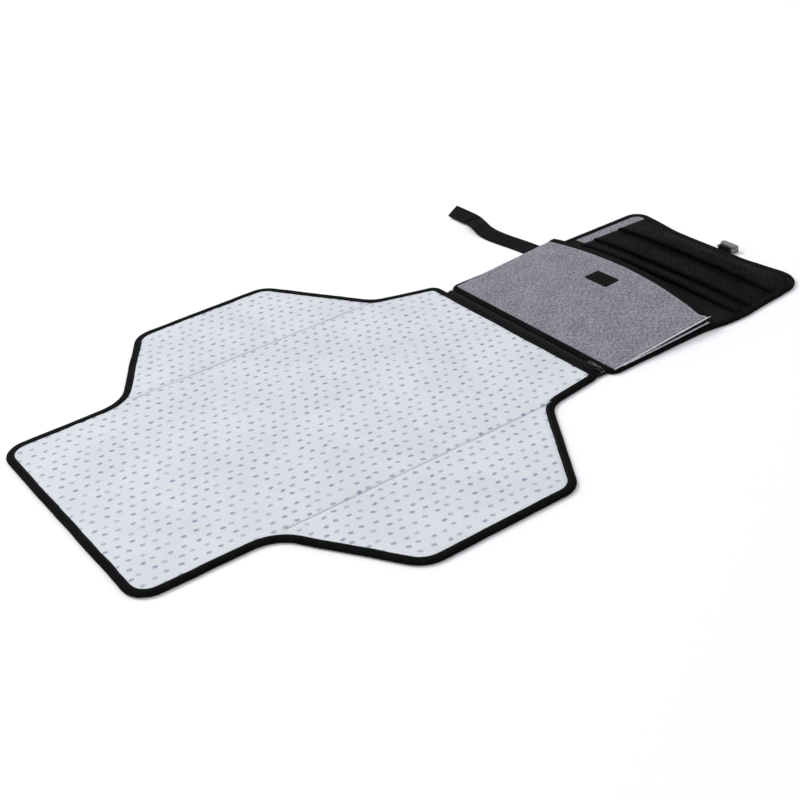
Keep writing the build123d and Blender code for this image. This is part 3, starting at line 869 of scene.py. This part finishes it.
def pocket_mouth_tape():
    section = [(8.3, 0.12), (7.4, 0.62), (4.5, 0.85), (1.5, 0.8), (-0.3, 0.35), (-0.8, -0.5), (-0.3, -1.35),
               (1.5, -1.75), (4.5, -1.7), (7.6, -1.5), (7.6, -1.12), (1.0, -1.1), (0.15, -0.5), (0.9, 0.06)]
    ys = even(pocket_near + 0.1, pocket_far + 0.3, 2.6)
    rings = []
    for y in ys:
        tip, back = pocket_point(1, y), pocket_point(0.96, y)
        ahead = unit(tip - back)
        up = unit(np.cross((0, 1, 0), -ahead))
        up *= math.copysign(1, up[Z])
        ripple = 0.12 * wave(y, 0, 8, 31.0)
        spread = (1 + 0.05 * wave(y, 0, 25, 32.0)) * (0.5 + 0.5 * ease((y - pocket_near) / 12))
        rings.append(np.array([tip - ahead * depth * spread + up * (rise + (ripple if rise > 0 else 0))
                               for depth, rise in section]))
    shape = Shape().sweep(rings, ys)
    shape.stitch_row([r[1] * 0.55 + r[2] * 0.45 + (0, 0, 0.05) for r in rings])
    finish(shape, "pocket_mouth_tape", [BINDING, BLACK_THREAD], on_base, ["pocket_mouth_binding"])


def inner_height(u, y):
    return pocket_floor + 0.3 + 2.9 * ease((-60 - y) / 90) * u**1.6


def pocket_inside():
    """The flat grey pocket layer under the front pocket, and the two dark gussets."""
    x_start, x_end = low("inner_pocket", X), high("inner_pocket", X) - 1
    layer = 0.8
    ys = np.concatenate([[pocket_near - 1.0, pocket_near + 0.2], even(pocket_near + 2, pocket_far - 3, 4)])
    top = np.array([[(x_start + u * (x_end - x_start), y, inner_height(u, y) + layer) for y in ys]
                    for u in np.linspace(0, 1, 34)])
    shape = Shape().slab(top, top - (0, 0, layer))
    # the strip along the near edge gets the paler heather: a painted highlight on the fold
    shape.paint(2, lambda middle: middle[Y] < pocket_near + 0.3)
    shape.stitch_row([(x_end - 2.5, y, inner_height(0.98, y) + 0.9) for y in ys[1:-1]], 3, 0.25)
    finish(shape, "inner_pocket_layer", [HEATHER, PALE_THREAD, PALE_EDGE_HIGHLIGHT], on_base, ["inner_pocket"],
           flat=(x_end - x_start, ys[-1] - ys[0]))
    for side_name, y_edge, side in (("near", pocket_near + 1.2, 1), ("far", pocket_far - 1.2, -1)):
        rows = []
        for u in np.linspace(0.05, 0.97, 40):
            x, _, z_top = pocket_point(u, y_edge, -pocket_cloth - 0.05)
            on_layer = x_start < x < x_end and side > 0
            inner_u = min(1, max(0, (x - x_start) / (x_end - x_start)))
            z_low = min(inner_height(inner_u, y_edge) + 0.85 if on_layer else pocket_floor + 0.1, z_top - 0.3)
            rows.append([(x, y_edge + side * 6.5 * math.sin(math.pi * t) * u, z_low + t * (z_top - z_low))
                         for t in np.linspace(0, 1, 9)])
        face = np.array(rows)
        shape = Shape().slab(face, face + (0, 0.6 * side, 0), face[:, :, [X, Z]] * MM)
        finish(shape, f"pocket_gusset_{side_name}_fold", [DARK], on_base, [f"pocket_gusset_{side_name}"],
               face)


def closure_patch():
    (x_low, x_high), (y_low, y_high) = span("closure_patch", X), span("closure_patch", Y)
    start = np.array((x_low - 1.5, y_low + 0.14 * (y_high - y_low)))
    end = np.array((x_high - 1.5, y_high))
    half, corner, margin = (end - start) / 2, 2.0, 1.7

    def on_pocket(x, y, up):
        return pocket_point((x - pocket_start) / (mouth_x(y) - pocket_start), y, up)

    def pile_top(x, y):
        """A point of the patch's top, whose corners are drawn in."""
        away = (x, y) - start - half
        pull = 0.7 * max(0.0, np.linalg.norm(np.maximum(0, abs(away) - half + corner)) - corner)
        up = 0.55 + 0.5 * ease(min(half - abs(away)) / 1.6) + 0.08 * wave(x, y, 2.2, 41.0)
        return on_pocket(*((x, y) - np.copysign(pull, away)), up)

    xs, ys = (even(start[axis], end[axis], 1.0) for axis in (X, Y))
    top = np.array([[pile_top(x, y) for y in ys] for x in xs])
    shape = Shape().slab(top, np.array([[on_pocket(*p[:2], 0.02) for p in row] for row in top]))
    shape.stitch_box(start + margin, end - margin, 12, 0.2, lambda x, y: on_pocket(x, y, 1.05))
    finish(shape, "closure_patch_pile", [HOOK, BLACK_THREAD], on_base, ["closure_patch"],
           top)


# ---- mesh pockets
mesh_tuck = inset(clutch_loop, 7.6)  # the mesh ends under the binding tape
mesh_sewn = 4.15  # top of the mesh where it is sewn down


def tier_height(number, x, y, v, w, crest):
    """Top of a mesh pocket: full at its mouth (w = 0), sewn down at its sides (v = 0, 1) and closed end."""
    sides = math.sin(math.pi * min(0.999, max(0.001, v))) ** 0.4
    fall = 1 - w**1.9 + 0.12 * math.sin(math.pi * w)
    full = 0.9 + 0.12 * wave(y, number * 40, 55, 51.0)
    gather = 0.30 * wave(y, number * 10, 5.5, 52.0) * math.exp(-3.0 * w) * sides
    slack = 0.9 * wave(x, y, 30, 53.0) + 0.35 * wave(x, y, 11, 54.0)
    slack *= sides * math.sin(math.pi * min(1, w + 0.12))
    return mesh_sewn + (crest - mesh_sewn) * sides * fall * full + gather + slack


def mesh_pockets():
    ws, vs = np.linspace(0, 1, 22), np.linspace(0, 1, 104)
    for number, closed_end in ((1, flap_hinge + 25), (2, flap_hinge + 64), (3, None)):
        node = f"mesh_pocket_{number}"
        mouth, crest = low(node, X), high(node, Z) - 0.5
        side_y = y_span(mesh_tuck, mouth)[0]

        def tier_place(v, w):
            y = side_y + v * (mesh_far - side_y)
            closed = closed_end or y_span(mesh_tuck[:, ::-1], max(y, clutch_near + 28))[1]
            x = mouth + w * (closed - mouth)
            near = y_span(mesh_tuck, min(x, flap_end - 40))[0]
            return x, near + v * (mesh_far - near)

        flat, _ = tucked(np.array([[tier_place(v, w) for v in vs] for w in ws]), mesh_tuck)
        top = lift(flat, [tier_height(number, *flat[i, j], v, w, crest) for i, w in enumerate(ws)
                          for j, v in enumerate(vs)])
        shape = Shape().slab(top, top - (0, 0, 0.6))
        if closed_end:
            shape.stitch_row(top[-2][1:103] + (0, 0, 0.12), 3, 0.22)
        shape.stitch_row(top[1:21, -2] + (0, 0, 0.1), 3, 0.22)
        finish(shape, f"mesh_tier_{number}", [MESH, BLACK_THREAD], on_flap, [node],
               flat=(high(node, X) - mouth, mesh_far - mesh_near))

        # the elastic hem along the mouth: steps from its lip, with its top and underside over the mesh
        steps = list(zip(np.linspace(-0.6, 5.4, 7), (0.25, 0.75, 0.95, 1.0, 0.95, 0.75, 0.15),
                         (-0.85, *[0.05] * 6)))
        depth = flat[-1, :, X] - flat[0, :, X]

        def on_tier(j, step, up):
            w = min(1.0, max(0.0, step) / max(10.0, depth[j]))
            x, y = mouth + step, flat[0, j, Y]
            return x, y, tier_height(number, x, y, vs[j], w, crest) + up

        ripple = [0.12 * wave(y, number, 3.2, 55.0) for y in flat[0, :, Y]]
        hem_top = np.array([[on_tier(j, s, up + r) for j, r in enumerate(ripple)] for s, up, _ in steps])
        under = np.array([[on_tier(j, s, down) for j in range(len(vs))] for s, _, down in steps])
        band = Shape().slab(hem_top, under, hem_top[:, :, [Y, X]] * MM)
        finish(band, f"mesh_hem_{number}", [ELASTIC], on_flap, ["mesh_hems"] if number == 1 else [])


# ---- zipper
def zipper():
    zip_middle = (high("zipper_tape_mat", X) + low("zipper_tape_clutch", X)) / 2
    for side_name, side, pad in (("mat", -1, "head_binding_tape"), ("clutch", 1, "base_binding_tape")):
        node = f"zipper_tape_{side_name}"
        (x_low, x_high), (y_low, y_high), z_top = span(node, X), span(node, Y), high(node, Z)
        wider = 4.5  # the woven tape reaches under the binding
        xs = even(x_low - wider, x_high, 0.8) if side < 0 else even(x_low, x_high + wider, 0.8)
        ys = even(y_low - 1, y_high + 1, 3)
        top = np.array([[(x, y, z_top - 0.25 * ease((abs(x - zip_middle) - 1.5) / 3)
                          + 0.05 * wave(x, y, 5, 61.0)) for y in ys] for x in xs])
        shape = Shape().slab(top, top - (0, 0, 0.45), top[:, :, [Y, X]] * MM)
        shape.stitch_row([(zip_middle + side * 3.0, y, z_top + 0.02) for y in ys], 2.6, 0.2)
        finish(shape, f"{node}_woven", [DARK, ZIP_THREAD], on_base, [node], top)

        node = f"zipper_coil_{side_name}"
        (y_low, y_high), (z_low, z_high) = span(node, Y), span(node, Z)
        pitch, start = 1.5, 0.25 if side < 0 else 0.75
        middle = (z_low + z_high) / 2 + 0.05
        coil = Shape()
        for k in range(int((y_high - y_low) / pitch)):
            y = y_low + (k + start) * pitch
            tooth = [np.array([(zip_middle + side * (2.35 - 2.45 * share), y + 0.36 * size * math.cos(a),
                                middle + 0.78 * size * math.sin(a)) for a in circle(8)])
                     for share, size in ((0, 0.35), (0.12, 0.85), (0.5, 1), (0.85, 1.05), (1, 0.4))]
            coil.sweep(tooth, [0, 0.4, 1.2, 2.0, 2.4])
        r = 0.35  # radius of the cord inside the coil
        cord = [np.array([(zip_middle + side * 1.9 + r * math.cos(a), y, z_low + r + r * math.sin(a))
                          for a in circle(6)]) for y in (y_low, y_high)]
        coil.sweep(cord, [y_low, y_high])
        piece = coil.make(f"{node}_teeth", [NYLON])
        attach(piece, "base")
        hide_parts(node)

    # the strip of cloth that the mat folds on, under the zipper
    x_low, x_high, y_near = head_edge - 9, zip_middle - 0.4, head_near + 5

    def far_end(x):
        return head_far - 4 + (clutch_far - head_far - 2) * ease((x - x_low - 4) / (x_high - x_low - 5))

    top = np.array([[(x, y_near + s * (far_end(x) - y_near), 1.55 - 0.5 * ease((head_edge - x) / 3))
                     for s in np.linspace(0, 1, 61)] for x in even(x_low, x_high, 0.7)])
    shape = Shape().slab(top, top - (0, 0, 0.5))
    finish(shape, "head_fold_cloth", [DARK], bending("base", "head", X, x_high, x_low + 3), [],
           top)


# ---- strap
strap_low, strap_high = span("strap_end", X)
strap_cloth = 1.7


def strap_point(across, y, up=0.0):
    """A point of the strap: it leaves the binding low, swings sideways, then rises and twists a little."""
    swing = -7 * ease((y - 125) / 75) + 11.5 * ease((y - 205) / 55)
    x = strap_low + across * (strap_high - strap_low) + swing
    rise = math.exp(-(((y - 226) / 20) ** 2))
    height = 0.3 + 1.2 * ease((135 - y) / 20) + 2.8 * rise + (across - 0.5) * (0.8 - 3.5 * rise)
    height += 0.25 * wave(x, y, 30, 71.0) * (1 - ease((y - 240) / 20))
    slant = 15 * (across - 1) * ease((y - 262) / 36)
    return np.array((x, y + slant, max(0.05, height) + up))


def strap_piece(name, y_low, y_high, nodes, bodies, fold, box=None):
    """A length of webbing across the fold. box is the y of its sewn box's two ends."""
    half_band = 9
    # place across the strap, top and underside
    section = [(0, 0.75, 0.35), (0.03, 0.95, 0.08), (0.07, 1, 0), (0.15, 0.94, 0), (0.3, 1, 0), (0.5, 1, 0),
               (0.7, 1, 0), (0.85, 0.94, 0), (0.93, 1, 0), (0.97, 0.95, 0.08), (1, 0.75, 0.35)]
    ys = even(y_low, y_high, 1.4)
    top = np.array([[strap_point(s, y, c * strap_cloth) for s, c, _ in section] for y in ys])
    bottom = np.array([[strap_point(s, y, f) for s, _, f in section] for y in ys])
    uv = [[(y * MM, s * (strap_high - strap_low) * MM) for s, *_ in section] for y in ys]
    shape = Shape().slab(top, bottom, np.array(uv))
    if box:
        shape.stitch_box((0.12, box[0]), (0.88, box[1]), 8, 0.24,
                         lambda s, y: strap_point(s, y, strap_cloth + 0.1))
    ride_on = bending(*bodies, Y, fold - half_band, fold + half_band)
    finish(shape, name, [WEBBING, BLACK_THREAD], ride_on, nodes, top)


def strap():
    lift_fold, wrap_fold = joint_at["strap_lift"][Y], joint_at["strap_wrap"][Y]
    half_way = (lift_fold + wrap_fold) / 2
    strap_piece("strap_lower", clutch_far - 8, half_way, ["strap_root", "strap_rise"], ("base", "strap_rise"),
                lift_fold, box=(clutch_far + 4, clutch_far + 18))
    strap_piece("strap_upper", half_way, high("strap_end", Y), ["strap_end"], ("strap_rise", "strap_end"),
                wrap_fold)

    def ragged(s, y):
        """The patch's outer edge is frayed and stands out past the webbing."""
        return s - 0.05 * (1 - ease((s + 0.06) / 0.2)) * (1 + wave(y, 0, 5, 73.0))

    places = [[(s, y) for s in np.linspace(-0.06, 0.94, 22)] for y in even(*span("strap_hook_patch", Y), 1.2)]
    top = np.array([[strap_point(ragged(s, y), y, strap_cloth + 0.9 + 0.15 * wave(s * 25, y, 2.5, 72.0))
                     for s, y in row] for row in places])
    bottom = np.array([[strap_point(ragged(s, y), y, strap_cloth + 0.02) for s, y in row] for row in places])
    shape = Shape().slab(top, bottom)
    finish(shape, "strap_hook_pile", [HOOK], riding("strap_end"), ["strap_hook_patch"],
           top)


# ---- buckle
def buckle_tab():
    bar = joint_at["buckle_swing"]
    inside, outside = 1.65, 2.55  # radii of the loop round the bar
    start_x = bar[X] - 10.5

    def loop_line(radius, lower, upper):
        straight = even(start_x, bar[X] - radius * 0.9, 1.5)
        arc = np.linspace(-0.72 * math.pi, 0.72 * math.pi, 22)
        round_bar = [(bar[X] + radius * math.cos(a), bar[Z] + radius * math.sin(a)) for a in arc]
        return np.array([(x, lower) for x in straight] + round_bar + [(x, upper) for x in straight[::-1]])

    outer, lining = loop_line(outside, 1.25, 3.35), loop_line(inside, 2.15, 2.5)
    ys = even(*span("buckle_tab", Y), 1.2)
    top, bottom = (np.array([[(x, y, z) for y in ys] for x, z in line]) for line in (outer, lining))
    uv = [[(length * MM, y * MM) for y in ys] for length in lengths_along(outer)]
    shape = Shape().slab(top, bottom, np.array(uv))
    finish(shape, "buckle_tab_loop", [WEBBING], on_flap, ["buckle_tab"],
           top)


def hardware_materials():
    """CAD nodes that stay: buckle, slider, pull and stops."""
    for node, material in (("buckle_socket", PLASTIC), ("zipper_slider", METAL), ("zipper_pull", METAL),
                           ("zipper_stops", METAL)):
        piece = frame["nodes"][node]
        piece.data.materials.clear()
        piece.data.materials.append(material)
        for polygon in piece.data.polygons:
            polygon.use_smooth = False
        soften = piece.modifiers.new("edges", "BEVEL")
        soften.width, soften.segments, soften.angle_limit = 0.25 * MM, 2, math.radians(40)


# ---- stage
def camera():
    """The camera stands off the foot end's near corner and looks along the pad to the clutch."""
    yaw, pitch, roll = math.radians(58.121), math.radians(31.037), math.radians(-6.314)
    data = bpy.data.cameras.new("camera")
    data.lens, data.sensor_width = 62.83, 36
    data.clip_start, data.clip_end = 0.05, 20
    made = place("camera", data)
    made.matrix_world = (Matrix.Translation((-0.53859, -1.04746, 0.71458))
                         @ Matrix.Rotation(yaw - math.tau / 4, 4, "Z")
                         @ Matrix.Rotation(math.tau / 4 - pitch, 4, "X") @ Matrix.Rotation(roll, 4, "Z"))
    bpy.context.scene.camera = made


def area_light(name, where, target, size, power):
    data = bpy.data.lights.new(name, "AREA")
    data.size, data.energy = size, power
    made = place(name, data)
    made.location = where
    made.rotation_euler = (Vector(target) - Vector(where)).to_track_quat("-Z", "Y").to_euler()


def stage():
    """A pale floor, an even sky and two soft lights."""
    half, drop = 6.0, 0.0001
    mesh = bpy.data.meshes.new("floor")
    corners = [(x * half, y * half, -drop) for x, y in ((-1, -1), (1, -1), (1, 1), (-1, 1))]
    mesh.from_pydata(corners, [], [(0, 1, 2, 3)])
    mesh.materials.append(Shader("floor", (0.885, 0.88, 0.895), 0.9).material)
    place("floor", mesh)
    world = bpy.data.worlds.new("studio")
    world.use_nodes = True
    sky = world.node_tree.nodes["Background"]
    sky.inputs["Color"].default_value = (0.97, 0.98, 1.0, 1)
    sky.inputs["Strength"].default_value = 0.78
    bpy.context.scene.world = world
    centre = (0.1, 0, 0)
    area_light("key", (-1.2, 3.6, 4.0), centre, 2.4, 165)
    area_light("fill", (-2.4, -2.2, 3.2), centre, 3.5, 16)
    bpy.context.scene.view_settings.view_transform = "Standard"


for build in (camera, build_mat_panels, build_mat_binding, clutch_pads, clutch_binding, front_pocket,
              pocket_mouth_tape, pocket_inside, closure_patch, mesh_pockets, zipper, strap, buckle_tab,
              hardware_materials, stage):
    build()
